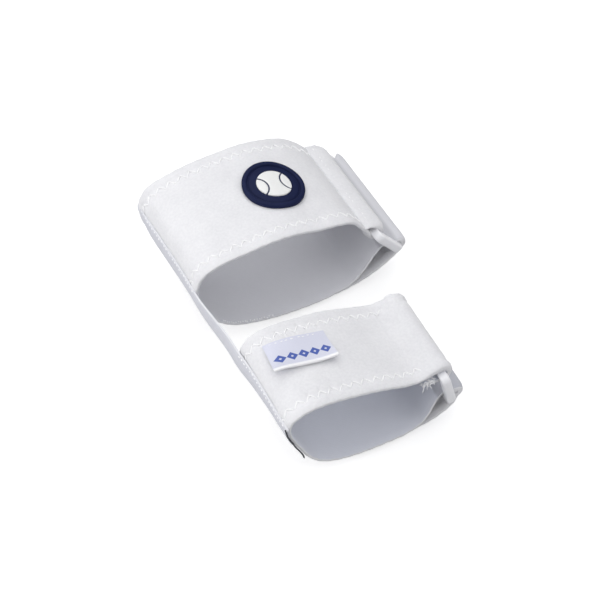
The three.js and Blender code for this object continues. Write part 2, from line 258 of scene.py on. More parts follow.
# A leaning thread lies at about this share of its distance across the strap
THREAD_LEAN = 0.72
# The cloth's relief: how high or deep, and how wide
HEM_ROLL = 0.42
HEM_WIDE = 5.2
SHOULDER = 0.12
SHOULDER_IN = 9.6
SHOULDER_WIDE = 1.6
THREAD_FURROW = 0.07
FURROW_WIDE = 0.6
NEEDLE_DIMPLE = 0.32
DIMPLE_WIDE = 0.9
DIMPLE_LONG = 0.8
PILE_HEIGHT = 0.05
PILE_SIZE = 2.1
# The cut end that is sewn on top is pressed flat over this length, to this share of its thickness
PRESSED_LENGTH = 5.5
PRESSED_SHARE = 0.6
PRESSED_DOWN = 1.35
# Where a strap is folded round a ring bar, its foam swells: outside the upper bar, inside the lower fold.
# Where the narrow strap's end is sewn on from inside, a shallow furrow shows. At the wide strap's lower fold
# the rear edge flares out, most of all soon after the start of the turn.
Fold = namedtuple("Fold", "face start stop swell at_edge rear_flare", defaults=(0,))
SWELL_EASE = 6
FLARE_RISE = 3.0
FLARE_FALL = 9.0
FLARE_WIDE = 14
FOLDS = {
    "large_cuff": [
        Fold(-1, 3.2, large.at["under the sewn end"], 1.3, 0.45),
        Fold(-1, large.near(47.5, 26.4), large.near(55.6, 25.2), 0.8, 0.7),
        Fold(1, large.near(52.6, 26), large.near(54.9, 20.2) + 3, 1.7, 0.85, 3.0),
    ],
    "small_cuff": [
        Fold(1, small.at["sewn end, middle"], small.at["seam"] - 2, 1.6, 0.75),
        Fold(1, small.at["seam"] - 2.8, small.at["seam"] + 1.6, -0.22, 0.45),
        Fold(1, small.near(30.5, 24.4) - 1.5, small.near(36.5, 15.8) + 4, 2.45, 1.0),
    ],
}
# How far along the wide strap its sewn end is faced with the outer cloth
FACED_END = large.at["under the sewn end"]
# Painted shade: the lining is darkened under the wide cuff's upper fold and round the narrow cuff's lower
# one
PaintedShade = namedtuple("PaintedShade", "start stop fade share")
PAINTED_SHADE = {
    "large_cuff": PaintedShade(large.at["into the ring"] - 2, large.near(52.6, 26), 2.2, 0.5),
    "small_cuff": PaintedShade(small.at["into the ring"] - 2, small.at["tail, slope"], 6.0, 0.55),
}
# The cloth bulges a little past the strap's edges, puckered by stitches, and the lining is drawn up to it
HEM_OUT = 0.35
HEM_OUT_WIDE = 4
PUCKER = 0.1
RIM_DRAWN_UP = 0.8
RIM_WIDE = 3.4


def stitched_relief(x, y, width):
    """How far the cloth's face rises or sinks: rolled along the edges, and pulled down by the stitches."""
    edge = np.minimum(y, width - y)
    phase = x / EDGE_PITCH
    zigzag = EDGE_ROW + EDGE_ROW_HALF * (4 * np.abs(phase - np.round(phase)) - 1)
    off_thread = (edge - zigzag) * THREAD_LEAN
    to_hole = EDGE_PITCH / 2 * np.abs(2 * phase - np.round(2 * phase))
    hem = HEM_ROLL * np.sin(np.pi * np.clip(edge / HEM_WIDE, 0, 1)) ** 2
    shoulder = SHOULDER * np.exp(-(((edge - SHOULDER_IN) / SHOULDER_WIDE) ** 2))
    furrow = THREAD_FURROW * np.exp(-((off_thread / FURROW_WIDE) ** 2))
    dimple = NEEDLE_DIMPLE * np.exp(-((off_thread / DIMPLE_WIDE) ** 2) - (to_hole / DIMPLE_LONG) ** 2)
    return hem + shoulder - furrow - dimple


def pressed(x, z):
    """Heights on a strap whose sewn end is pressed on to the cloth that its outer face lies on."""
    ease = np.clip(1 - x / PRESSED_LENGTH, 0, 1) ** 2
    thick = 1 - (1 - PRESSED_SHARE) * ease
    outside = STRAP_THICK / 2
    return outside - (outside - z) * thick + PRESSED_DOWN * ease


def named(name):
    """The object just added, under its own name."""
    piece = bpy.context.object
    piece.name = name
    piece.data.name = name
    return piece


def pick_faces(piece, wanted):
    """Goes into edit mode with just those faces selected whose middle passes the test."""
    bpy.ops.object.mode_set(mode="OBJECT")
    mesh = piece.data
    mesh.vertices.foreach_set("select", np.zeros(len(mesh.vertices), dtype=bool))
    mesh.edges.foreach_set("select", np.zeros(len(mesh.edges), dtype=bool))
    picked = [wanted(f.center) for f in mesh.polygons]
    mesh.polygons.foreach_set("select", np.array(picked, dtype=bool))
    bpy.ops.object.mode_set(mode="EDIT")
    bpy.ops.mesh.select_mode(type="FACE")


def apply_modifier(piece, kind, **values):
    """Adds a modifier and applies it at once."""
    modifier = piece.modifiers.new(kind.lower(), kind)
    for key, value in values.items():
        setattr(modifier, key, value)
    bpy.ops.object.modifier_apply(modifier=modifier.name)


def round_edges(piece, radius, segments, least_angle):
    """Rounds the edges of a piece that are sharper than an angle in degrees."""
    least = math.radians(least_angle)
    apply_modifier(piece, "BEVEL", width=radius, segments=segments, limit_method="ANGLE", angle_limit=least)


def points_of(piece):
    """The piece's vertices as rows of x, y, z."""
    flat = np.empty(len(piece.data.vertices) * 3)
    piece.data.vertices.foreach_get("co", flat)
    return flat.reshape(-1, 3)


def set_points(piece, points):
    """Moves the piece's vertices."""
    piece.data.vertices.foreach_set("co", np.asarray(points, dtype=float).ravel())
    piece.data.update()


# One unit of the flat map is this many millimetres of cloth
UV_UNIT = 100


def keep_flat_map(piece):
    """Keeps each corner's flat place as the piece's UV map, so that patterns follow the cloth."""
    mesh = piece.data
    layer = mesh.uv_layers.new(name="Flat")
    corner = np.empty(len(mesh.loops), dtype=int)
    mesh.loops.foreach_get("vertex_index", corner)
    layer.uv.foreach_set("vector", (points_of(piece)[corner, :2] / UV_UNIT).ravel())


def turn_outward(piece):
    """Recalculates the normals of closed shapes, so that all faces point outwards."""
    bpy.ops.object.select_all(action="DESELECT")
    piece.select_set(True)
    bpy.context.view_layer.objects.active = piece
    bpy.ops.object.mode_set(mode="EDIT")
    bpy.ops.mesh.select_all(action="SELECT")
    bpy.ops.mesh.normals_make_consistent(inside=False)
    bpy.ops.object.mode_set(mode="OBJECT")


def cut_sheet(name, size, steps, middle):
    """A flat sheet of cloth about a middle, its length along x and its width along y."""
    bpy.ops.mesh.primitive_grid_add(x_subdivisions=steps[0], y_subdivisions=steps[1], size=1, calc_uvs=False)
    sheet = named(name)
    bpy.ops.transform.resize(value=(*size, 1))
    bpy.ops.transform.translate(value=middle)
    bpy.ops.object.transform_apply()
    return sheet


CLOTH_STEP = 1.25
EDGE_RADIUS = 0.95
# The cloth is cut finer between these distances from the edges
FINE_FROM = 3.6
FINE_TO = 8.7


def cut_strap(name, strap):
    """The flat strap: a sheet, finer under the stitch rows, given its foam and its rounded edges."""
    size = (strap.length, strap.width)
    steps = [round(side / CLOTH_STEP) for side in size]
    cloth = cut_sheet(name, size, steps, (strap.length / 2, strap.width / 2, 0))
    pick_faces(cloth, lambda middle: FINE_FROM < min(middle.y, strap.width - middle.y) < FINE_TO)
    bpy.ops.mesh.subdivide(number_cuts=1)
    bpy.ops.object.mode_set(mode="OBJECT")
    apply_modifier(cloth, "SOLIDIFY", thickness=STRAP_THICK, offset=0)
    round_edges(cloth, EDGE_RADIUS, segments=4, least_angle=60)
    keep_flat_map(cloth)
    return cloth


def bend_strap(cloth, strap, folds):
    """Gives the flat strap its rolled edges, dimples and swollen folds, and bends it into the cuff."""
    x, y, z = points_of(cloth).T
    face = z / (STRAP_THICK / 2)
    edge = np.minimum(y, strap.width - y)
    pile = np.array([noise.noise(Vector(spot)) for spot in zip(x / PILE_SIZE, y / PILE_SIZE, z)])
    relief = np.clip(face, 0, 1) * (stitched_relief(x, y, strap.width) + PILE_HEIGHT * pile)
    relief += np.clip(-face, 0, 1) * RIM_DRAWN_UP * np.clip(1 - edge / RIM_WIDE, 0, 1) ** 2
    swell = np.zeros_like(z)
    flare = np.zeros_like(y)
    for fold in folds:
        on_fold = np.sin(np.pi * np.clip((x - fold.start) / (fold.stop - fold.start), 0, 1))
        on_face = np.clip(face * fold.face, 0, 1) * np.clip(fold.at_edge + edge / SWELL_EASE, 0, 1)
        swell += fold.face * fold.swell * on_fold * on_face
        share = np.clip(np.minimum((x - fold.start) / FLARE_RISE, (fold.stop - x) / FLARE_FALL), 0, 1)
        flare += fold.rear_flare * share**2 * (3 - 2 * share) * np.clip(1 - y / FLARE_WIDE, 0, 1)
    z = pressed(x, z + relief + swell)
    outwards = np.where(y < strap.width / 2, -1, 1) * np.clip(1 - edge / HEM_OUT_WIDE, 0, 1)
    pucker = PUCKER * (1 - np.cos(2 * np.pi * x / EDGE_PITCH))
    set_points(cloth, strap.place(x, y - flare + outwards * (HEM_OUT - pucker), z) * MM)
    bpy.ops.object.shade_smooth()


def effect(name, inputs, outputs):
    """An empty shader node group that takes a vector and these numbers: its tree and its two ends."""
    tree = bpy.data.node_groups.new(name, "ShaderNodeTree")
    tree.interface.new_socket("Vector", in_out="INPUT", socket_type="NodeSocketVector")
    for socket, value in inputs.items():
        made = tree.interface.new_socket(socket, in_out="INPUT", socket_type="NodeSocketFloat")
        made.default_value = value
    for socket in outputs:
        tree.interface.new_socket(socket, in_out="OUTPUT", socket_type="NodeSocketFloat")
    return tree, tree.nodes.new("NodeGroupInput"), tree.nodes.new("NodeGroupOutput")


def add_node(tree, kind, links=(), **values):
    """Adds a node with its settings, and joins each named or numbered input to the output given for it."""
    node = tree.nodes.new(kind)
    for key, value in values.items():
        setattr(node, key, value)
    for socket, source in dict(links).items():
        if isinstance(source, bpy.types.NodeSocket):
            tree.links.new(source, node.inputs[socket])
        else:
            node.inputs[socket].default_value = source
    return node


def sum_of(tree, operation, a, b=0.5, c=0.5):
    """One Math node, as its output."""
    return add_node(tree, "ShaderNodeMath", {0: a, 1: b, 2: c}, operation=operation).outputs[0]


def blend_of(tree, share, a, b):
    """A mix of two colours by a share, as its output."""
    node = add_node(tree, "ShaderNodeMix", {0: share, 6: a, 7: b}, data_type="RGBA")
    return node.outputs[2]


def noise_of(tree, vector, scale, detail, distortion=0.0):
    """A noise texture, as its output."""
    links = {"Vector": vector, "Scale": scale, "Detail": detail, "Distortion": distortion}
    return add_node(tree, "ShaderNodeTexNoise", links).outputs[0]


def wave_of(tree, at):
    """Ridges one unit apart, rising from 0 to 1, as an output."""
    return sum_of(tree, "ABSOLUTE", sum_of(tree, "SINE", sum_of(tree, "MULTIPLY", at, math.pi)))


def range_of(tree, value, first, last, start=0.0, stop=1.0):
    """A value that goes from the first to the last while another goes from start to stop, as an output."""
    return add_node(tree, "ShaderNodeMapRange", {0: value, 1: start, 2: stop, 3: first, 4: last}).outputs[0]


def own_place(tree):
    """Where each point of the piece lies, as an output."""
    return add_node(tree, "ShaderNodeTexCoord").outputs["Object"]


def flat_place(tree):
    """Where each point lay on the flat piece, as an output."""
    return add_node(tree, "ShaderNodeUVMap", uv_map="Flat").outputs[0]


def new_finish(name, **sockets):
    """A new material whose Principled shader has these sockets set, with its node tree and that shader."""
    material = bpy.data.materials.new(name)
    material.use_nodes = True
    shader = material.node_tree.nodes["Principled BSDF"]
    for socket, value in sockets.items():
        shader.inputs[socket.replace("_", " ")].default_value = value
    return material, material.node_tree, shader


# Brushed pile: loose fibres in small clumps, over a broad mottling
pile_group, pile_in, pile_out = effect(
    "Brushed pile", {"Clumps": 600.0, "Fibres": 2600.0}, ("Shade", "Height")
)
pile_vector, clump_scale, fibre_scale = pile_in.outputs[:3]
clumps = noise_of(pile_group, pile_vector, clump_scale, detail=3.0)
fibres = noise_of(pile_group, pile_vector, fibre_scale, detail=2.0, distortion=1.4)
mottling = noise_of(pile_group, pile_vector, scale=95.0, detail=2.0)
clump_height = sum_of(pile_group, "MULTIPLY", clumps, 0.3)
pile_height = sum_of(pile_group, "MULTIPLY_ADD", fibres, 0.7, clump_height)
clump_shade = sum_of(pile_group, "MULTIPLY", clumps, 0.65)
pile_shade = sum_of(pile_group, "MULTIPLY_ADD", mottling, 0.35, clump_shade)
pile_group.links.new(pile_shade, pile_out.inputs[0])
pile_group.links.new(pile_height, pile_out.inputs[1])

# Ribbing: raised ribs along one way of the cloth, crossed by finer picks that step from rib to rib
rib_group, rib_in, rib_out = effect("Ribbing", {"Ribs": 100.0, "Picks": 150.0}, ("Rib", "Height"))
rib_vector, rib_scale, pick_scale = rib_in.outputs[:3]
on_cloth = add_node(rib_group, "ShaderNodeSeparateXYZ", {0: rib_vector})
rib_at = sum_of(rib_group, "MULTIPLY", on_cloth.outputs[1], rib_scale)
rib_wave = wave_of(rib_group, rib_at)
rib_step = sum_of(rib_group, "MULTIPLY", sum_of(rib_group, "FLOOR", rib_at), 0.5)
pick_at = sum_of(rib_group, "MULTIPLY_ADD", on_cloth.outputs[0], pick_scale, rib_step)
pick_height = sum_of(rib_group, "MULTIPLY_ADD", wave_of(rib_group, pick_at), 0.5, 0.5)
rib_height = sum_of(rib_group, "MULTIPLY", rib_wave, pick_height)
rib_group.links.new(rib_wave, rib_out.inputs[0])
rib_group.links.new(rib_height, rib_out.inputs[1])


def place_effect(tree, group, vector, **values):
    """Puts a node group in a material, with its own values."""
    return add_node(tree, "ShaderNodeGroup", {"Vector": vector, **values}, node_tree=group)


def raise_surface(tree, shader, height, depth, strength=1.0):
    """Lets a height in 0 to 1 stand up from the surface by a depth in metres."""
    bump = add_node(tree, "ShaderNodeBump", {"Height": height, "Distance": depth, "Strength": strength})
    tree.links.new(bump.outputs[0], shader.inputs["Normal"])


def colour_surface(tree, shader, source):
    """Lets an output colour the surface."""
    tree.links.new(source, shader.inputs["Base Color"])


def fibre_finish(name, dark, light, clumps, fibres, depth, strength, **sockets):
    """A material of brushed or spun fibres, between two shades."""
    material, tree, shader = new_finish(name, **sockets)
    pile = place_effect(tree, pile_group, own_place(tree), Clumps=clumps, Fibres=fibres)
    colour_surface(tree, shader, blend_of(tree, pile.outputs["Shade"], dark, light))
    raise_surface(tree, shader, pile.outputs["Height"], depth, strength)
    return material


def knit_finish(name, dark, light, ribs):
    """The lining in one tint: pale ribs over a softly mottled ground, with painted shade where the folds
    shade it.
    """
    lining, tree, shader = new_finish(
        name, Roughness=0.9, Sheen_Weight=0.15, Sheen_Roughness=0.5, Specular_IOR_Level=0.2
    )
    knit = place_effect(tree, rib_group, flat_place(tree), Ribs=110.0, Picks=150.0)
    pile = place_effect(tree, pile_group, own_place(tree), Clumps=420.0, Fibres=2600.0)
    ground = blend_of(tree, pile.outputs["Shade"], dark, light)
    shaded = blend_of(tree, knit.outputs["Rib"], ground, ribs)
    # Painted shade: this attribute darkens the lining towards a dark grey where the folds shade it
    painted_shade = add_node(tree, "ShaderNodeAttribute", attribute_name="PaintedShade").outputs["Fac"]
    colour_surface(tree, shader, blend_of(tree, painted_shade, shaded, (0.36, 0.365, 0.395, 1)))
    knit_height = sum_of(tree, "MULTIPLY_ADD", pile.outputs["Height"], 0.5, knit.outputs["Height"])
    raise_surface(tree, shader, knit_height, 0.0001, 0.4)
    return lining


loop_cloth = fibre_finish(
    "Brushed loop cloth", (0.68, 0.68, 0.706, 1), (0.885, 0.885, 0.90, 1), clumps=820.0, fibres=2400.0,
    depth=0.0004, strength=0.5, Roughness=0.92, Sheen_Weight=0.25, Sheen_Roughness=0.45,
    Specular_IOR_Level=0.2,
)
linings = {
    "large_cuff": knit_finish(
        "Grey lining", (0.615, 0.618, 0.652, 1), (0.715, 0.718, 0.752, 1), (0.683, 0.686, 0.72, 1)
    ),
    "small_cuff": knit_finish(
        "Blue lining", (0.618, 0.636, 0.70, 1), (0.718, 0.736, 0.80, 1), (0.686, 0.704, 0.766, 1)
    ),
}
# Faces of the flat strap that look down more than this are lined
LINED_BELOW = -0.6

for node, strap in (("large_cuff", large), ("small_cuff", small)):
    cloth = cut_strap(f"{node}_strap", strap)
    cloth.data.materials.append(loop_cloth)
    cloth.data.materials.append(linings[node])
    lined = [f.normal.z < LINED_BELOW for f in cloth.data.polygons]
    along = points_of(cloth)[:, 0]
    # Painted shade along the lining: full from its start, and fading out over the last stretch before its
    # stop
    shade_span_or_worn_tip = PAINTED_SHADE[node]
    painted_shade = shade_span_or_worn_tip.share * np.clip((shade_span_or_worn_tip.stop - along) / shade_span_or_worn_tip.fade, 0, 1) * (along > shade_span_or_worn_tip.start)
    if strap is large:
        lined = [below and f.center.x > FACED_END for below, f in zip(lined, cloth.data.polygons)]
    cloth.data.polygons.foreach_set("material_index", np.array(lined, dtype=int))
    cloth.data.attributes.new("PaintedShade", "FLOAT", "POINT").data.foreach_set("value", painted_shade)
    bend_strap(cloth, strap, FOLDS[node])
    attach(cloth, "root")
    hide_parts(node)


# The stitching of the straps
# White sewing thread: a zigzag 6 mm in from each long edge, which holds the rolled cloth, and a straight row
# across the wide cuff's sewn end. Each stitch runs from one needle hole to the next. The lining hides the
# back, but for a few small stitches on the wide cuff's lower front rim.
THREAD_RADIUS = 0.37
StitchRing = namedtuple("StitchRing", "share girth rise")
STITCH = [
    StitchRing(0.0, 0.5, -0.4),
    StitchRing(0.13, 0.9, -0.04),
    StitchRing(0.32, 1.0, 0.08),
    StitchRing(0.68, 1.0, 0.08),
    StitchRing(0.87, 0.9, -0.04),
    StitchRing(1.0, 0.5, -0.4),
]
STITCH_SIDES = 6
STITCH_ASTRAY = (0.2, 0.17, 0.03)
sewing = np.random.default_rng(11)


def start_thread(radius, height=0.0):
    """The first end of a thread along x, in edit mode and selected, ready to be drawn out."""
    across = (0, math.pi / 2, 0)
    bpy.ops.mesh.primitive_circle_add(
        vertices=STITCH_SIDES, radius=radius, fill_type="NGON", rotation=across, location=(0, 0, height),
        calc_uvs=False,
    )
    bpy.ops.object.transform_apply()
    bpy.ops.object.mode_set(mode="EDIT")
    bpy.ops.mesh.select_all(action="SELECT")
    return bpy.context.object


def sew_stitch(start, stop):
    """One stitch on flat cloth: a thread drawn from hole to hole, whose ends go down into the cloth."""
    long = math.dist(start, stop)
    stitch = start_thread(THREAD_RADIUS * STITCH[0].girth, STITCH[0].rise)
    for ring, after in zip(STITCH, STITCH[1:]):
        step = ((after.share - ring.share) * long, 0, after.rise - ring.rise)
        bpy.ops.mesh.extrude_region_move(TRANSFORM_OT_translate={"value": step})
        wider = after.girth / ring.girth
        middle = (after.share * long, 0, after.rise)
        bpy.ops.transform.resize(value=(1, wider, wider), center_override=middle)
    bpy.ops.object.mode_set(mode="OBJECT")
    stitch.rotation_euler[2] = math.atan2(stop[1] - start[1], stop[0] - start[0])
    stitch.location = (start[0], start[1], 0)
    bpy.ops.object.transform_apply()
    return stitch


def join_pieces(name, pieces):
    """Joins pieces into one object under that name."""
    bpy.ops.object.select_all(action="DESELECT")
    for piece in pieces:
        piece.select_set(True)
    bpy.context.view_layer.objects.active = pieces[0]
    if len(pieces) > 1:
        bpy.ops.object.join()
    return named(name)


def sew_row(name, legs, pitch, count):
    """A flat row of stitches along x: the same legs at a pitch, none quite like the next."""
    row = join_pieces(name, [sew_stitch(start, stop) for start, stop in legs])
    apply_modifier(
        row,
        "ARRAY",
        count=count,
        use_relative_offset=False,
        use_constant_offset=True,
        constant_offset_displace=(pitch, 0, 0),
    )
    points = points_of(row)
    corners = len(STITCH) * STITCH_SIDES
    astray = sewing.normal(0, STITCH_ASTRAY, (len(points) // corners, 3))
    set_points(row, points + np.repeat(astray, corners, axis=0))
    return row


def lay_on(piece, strap, face, sunk=0.0):
    """Lays a flat piece on a strap: face 1 is its outer side, -1 its lining."""
    x, y, z = points_of(piece).T
    set_points(piece, strap.place(x, y, pressed(x, face * (STRAP_THICK / 2 - sunk + z))) * MM)
    turn_outward(piece)
    bpy.ops.object.shade_smooth()


sewing_thread = fibre_finish(
    "Sewing thread", (0.87, 0.87, 0.885, 1), (0.985, 0.985, 0.99, 1), clumps=1500.0, fibres=5200.0,
    depth=0.00008, strength=0.6, Roughness=0.55, Sheen_Weight=0.2, Specular_IOR_Level=0.35,
)

ZIG = ((0, EDGE_ROW - EDGE_ROW_HALF), (EDGE_PITCH / 2, EDGE_ROW + EDGE_ROW_HALF))
ZAG = ((EDGE_PITCH / 2, EDGE_ROW + EDGE_ROW_HALF), (EDGE_PITCH, EDGE_ROW - EDGE_ROW_HALF))
THREAD_SUNK = 0.14

SEAM_PITCH = 3.1
SEAM_LEG = ((0, 0), (2.5, 0))
SEAM_ALONG = 2.4
SEAM_MARGIN = 2.2
SEAM_SUNK = 0.4
large_seam = sew_row("seam", (SEAM_LEG,), SEAM_PITCH, int((large.width - 2 * SEAM_MARGIN) / SEAM_PITCH))
x, y, z = points_of(large_seam).T
set_points(large_seam, np.stack([SEAM_ALONG - y, SEAM_MARGIN + x, z], axis=1))
lay_on(large_seam, large, -1, SEAM_SUNK)

RIM_PITCH = 1.35
RIM_LEG = ((0, 0), (0.95, 0))
RIM_COUNT = 22
RIM_FROM = large.at["bottom, corner"] + 1
RIM_IN = 0.35
RIM_SUNK = 0.66
large_rim = sew_row("rim", (RIM_LEG,), RIM_PITCH, RIM_COUNT)
set_points(large_rim, points_of(large_rim) + (RIM_FROM, large.width - RIM_IN, 0))
lay_on(large_rim, large, -1, RIM_SUNK)

for node, strap, held_by, rows in (
    ("large_cuff", large, "large_ring", [large_seam, large_rim]),
    ("small_cuff", small, "small_ring", []),
):
    for from_front in (False, True):
        row = sew_row("row", (ZIG, ZAG), EDGE_PITCH, int(strap.at["into the ring"] / EDGE_PITCH))
        if from_front:
            points = points_of(row)
            points[:, 1] = strap.width - points[:, 1]
            set_points(row, points)
        lay_on(row, strap, 1, THREAD_SUNK)
        rows.append(row)
    stitching = join_pieces(f"{node}_stitching", rows)
    stitching.data.materials.append(sewing_thread)
    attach(stitching, "root")


# The rings
# A flat frame moulded in white plastic, one to each cuff. Its upper bar is sewn into the strap's end and its
# lower bar turns the strap back, so that only its short sides show.
RING_BAR = 2.7
RING_THICK = 3.4
RING_SIDE = 4.2
RING_SIDE_THICK = 4.3
RING_SIDE_EASE = 1.2
RING_PLAY = 0.6
RING_CORNER = 3.4
RING_ROUND = 0.7
Ring = namedtuple("Ring", "name node strap upper lower skew")
RINGS = [
    Ring("large_strap_ring", "large_ring", large, (40.3, 37.9), (52, 22.3), 1.1),
    Ring("small_strap_ring", "small_ring", small, (27.8, 38.4), (32.2, 19.4), 0),
]

# Moulded grain: the faint waviness and fine matt skin of moulded plastic and rubber
grain_group, grain_in, grain_out = effect(
    "Moulded grain", {"Grain": 3000.0, "Waves": 120.0}, ("Waves", "Height")
)
grain_vector, grain_scale, wave_scale = grain_in.outputs[:3]
grain = noise_of(grain_group, grain_vector, grain_scale, detail=2.0)
waves = noise_of(grain_group, grain_vector, wave_scale, detail=3.0)
wave_height = sum_of(grain_group, "MULTIPLY", waves, 0.65)
skin_height = sum_of(grain_group, "MULTIPLY_ADD", grain, 0.35, wave_height)
grain_group.links.new(waves, grain_out.inputs[0])
grain_group.links.new(skin_height, grain_out.inputs[1])


def mould_skin(tree, shader, grain, waves, roughness, depth, strength):
    """Gives a moulded piece its grain and its roughness from smooth to matt, and puts out its waves."""
    skin = place_effect(tree, grain_group, own_place(tree), Grain=grain, Waves=waves)
    tree.links.new(range_of(tree, skin.outputs["Waves"], *roughness), shader.inputs["Roughness"])
    raise_surface(tree, shader, skin.outputs["Height"], depth, strength)
    return skin.outputs["Waves"]


def mould_ring(ring):
    """A flat frame: a plate with round corners, its hole inset, given its thickness and rounded all over,
    with its short sides a little thicker than its bars."""
    down = (ring.lower[0] - ring.upper[0], ring.lower[1] - ring.upper[1])
    hole = ring.strap.width - 2 * TURN_DRAW_IN + 2 * RING_PLAY
    outer = (math.hypot(*down) + RING_BAR, hole + 2 * RING_SIDE)
    bpy.ops.mesh.primitive_plane_add(size=1, calc_uvs=False)
    made = named(ring.name)
    bpy.ops.transform.resize(value=(*outer, 1))
    bpy.ops.object.transform_apply()
    bpy.ops.object.mode_set(mode="EDIT")
    bpy.ops.mesh.select_all(action="SELECT")
    bpy.ops.mesh.bevel(affect="VERTICES", offset=RING_CORNER, segments=8)
    bpy.ops.mesh.select_all(action="SELECT")
    bpy.ops.mesh.inset(thickness=RING_BAR)
    bpy.ops.transform.resize(value=(1, hole / (outer[1] - 2 * RING_BAR), 1), center_override=(0, 0, 0))
    bpy.ops.mesh.delete(type="FACE")
    bpy.ops.mesh.select_all(action="SELECT")
    bpy.ops.mesh.extrude_region_move(TRANSFORM_OT_translate={"value": (0, 0, RING_THICK)})
    bpy.ops.mesh.select_all(action="SELECT")
    bpy.ops.transform.translate(value=(0, 0, -RING_THICK / 2))
    bpy.ops.mesh.normals_make_consistent(inside=False)
    bpy.ops.object.mode_set(mode="OBJECT")
    round_edges(made, RING_ROUND, segments=4, least_angle=50)
    points = points_of(made)
    on_side = np.clip(0.5 + (np.abs(points[:, 1]) - hole / 2) / RING_SIDE_EASE, 0, 1)
    points[:, 2] *= 1 + (RING_SIDE_THICK / RING_THICK - 1) * on_side
    set_points(made, points)
    made.rotation_euler[1] = -math.atan2(down[1], down[0])
    made.rotation_euler[2] = math.atan2(2 * ring.skew, ring.strap.width)
    x = ring.upper[0] + down[0] / 2 - BASE_MIDDLE_X
    y = ring.strap.front_y + ring.strap.width / 2
    z = ring.upper[1] + down[1] / 2
    made.location = (x * MM, y * MM, z * MM)
    made.scale = (MM, MM, MM)
    bpy.ops.object.transform_apply()
    bpy.ops.object.shade_smooth_by_angle(angle=math.radians(40))
    return made


ring_plastic, tree, shader = new_finish(
    "Ring plastic", Specular_IOR_Level=0.5, Coat_Weight=0.15, Coat_Roughness=0.3
)
milk = mould_skin(tree, shader, 2600.0, 240.0, roughness=(0.3, 0.45), depth=0.00006, strength=0.4)
colour_surface(tree, shader, blend_of(tree, milk, (0.90, 0.90, 0.935, 1), (0.96, 0.96, 0.98, 1)))

for ring in RINGS:
    made = mould_ring(ring)
    made.data.materials.append(ring_plastic)
    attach(made, "root")
    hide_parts(ring.node)


# The hook patches
# White nylon hook tape, one between each strap's folded back tail and the cloth above it. It is sewn to the
# tail and grips the brushed loops. The model's own nodes have its shape, so they only take a finish.
hook_tape, tree, shader = new_finish("Hook tape", Roughness=0.6, Specular_IOR_Level=0.4)
hook_at = own_place(tree)
hooks = add_node(tree, "ShaderNodeTexVoronoi", {"Vector": hook_at, "Scale": 900.0, "Randomness": 0.25})
pile = place_effect(tree, pile_group, hook_at, Clumps=800.0, Fibres=3000.0)
nylon = blend_of(tree, pile.outputs["Shade"], (0.66, 0.66, 0.67, 1), (0.78, 0.78, 0.78, 1))
colour_surface(tree, shader, blend_of(tree, hooks.outputs["Distance"], nylon, (0.6, 0.6, 0.62, 1)))
raise_surface(tree, shader, hooks.outputs["Distance"], 0.0003, 0.7)
for node in ("large_hook_patch", "small_hook_patch"):
    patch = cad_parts[node]
    patch.data.materials.clear()
    patch.data.materials.append(hook_tape)


# The badge on the wide cuff
# A navy rubber disc moulded with a raised rim and a groove inside it, bent to the strap and fixed on it.
# Its device, a ball with two seams, is a second moulding in white rubber.
BADGE_PLACE = (1.7, 60)
DISC_SIDES = 96
# Profiles from the middle of the back, over the edge and in to the middle of the front, as radius and height
BADGE_PROFILE = [
    (4, 0), (8, 0), (12, 0), (14.6, 0), (15, 0.3), (15, 1.3), (14.85, 1.85), (14.45, 2.2), (13.9, 2.35),
    (13.2, 2.3), (12.75, 2.1), (12.55, 1.7), (12.4, 1.25), (12.1, 1.15), (11.8, 1.25), (11.6, 1.5),
    (11.2, 1.6), (9.4, 1.62), (7.2, 1.63), (5, 1.63), (3, 1.63), (1, 1.63),
]
BALL_EDGE = [(2.5, 1.4), (5, 1.4), (7.9, 1.4), (8.2, 1.6), (8.2, 2.0), (8.05, 2.22), (7.7, 2.34)]
BALL_TOP = 2.57
DOME_RADII = np.linspace(7.3, 0.4, 19)
DOME_DROP = 0.19
BALL_DOME = [(radius, BALL_TOP - DOME_DROP * (radius / DOME_RADII[0]) ** 2) for radius in DOME_RADII]
# Only the ball's face, above this height, is sunk along the seams
BALL_FACE = 2.3
BALL_SEAM_CENTRE = 9.6
BALL_SEAM_RADIUS = 6.2
BALL_SEAM_HALF = 0.42
BALL_SEAM_DEEP = 0.4
# The seam's colour is full to the first of these distances from its line, and gone at the second
BALL_SEAM_FADE = (0.28, 0.44)


def turn_disc(name, profile, sides):
    """A round piece drawn out of a small disc ring by ring, over its edge and in to its middle."""
    radius, height = profile[0]
    bpy.ops.mesh.primitive_circle_add(
        vertices=sides, radius=radius, location=(0, 0, height), fill_type="NGON", calc_uvs=False
    )
    disc = named(name)
    bpy.ops.object.transform_apply()
    bpy.ops.object.mode_set(mode="EDIT")
    bpy.ops.mesh.select_mode(type="EDGE")
    bpy.ops.mesh.select_all(action="SELECT")
    bpy.ops.mesh.region_to_loop()
    for (radius, height), (next_radius, next_height) in zip(profile, profile[1:]):
        bpy.ops.mesh.extrude_edges_move(TRANSFORM_OT_translate={"value": (0, 0, next_height - height)})
        wider = next_radius / radius
        bpy.ops.transform.resize(value=(wider, wider, 1), center_override=(0, 0, next_height))
    bpy.ops.mesh.edge_face_add()
    bpy.ops.object.mode_set(mode="OBJECT")
    turn_outward(disc)
    keep_flat_map(disc)
    return disc


badge_at = large.near(*BADGE_PLACE)


def lay_badge(disc):
    """Lays a part of the badge on the wide strap."""
    x, y, z = points_of(disc).T
    laid = large.place(badge_at + x, large.width / 2 + y, STRAP_THICK / 2 + z)
    set_points(disc, laid * MM)
    bpy.ops.object.shade_smooth_by_angle(angle=math.radians(50))


badge_rubber, tree, shader = new_finish("Badge rubber", Specular_IOR_Level=0.12)
navy = mould_skin(tree, shader, 3200.0, 260.0, roughness=(0.46, 0.64), depth=0.00008, strength=0.5)
colour_surface(tree, shader, blend_of(tree, navy, (0.006, 0.010, 0.042, 1), (0.012, 0.018, 0.064, 1)))

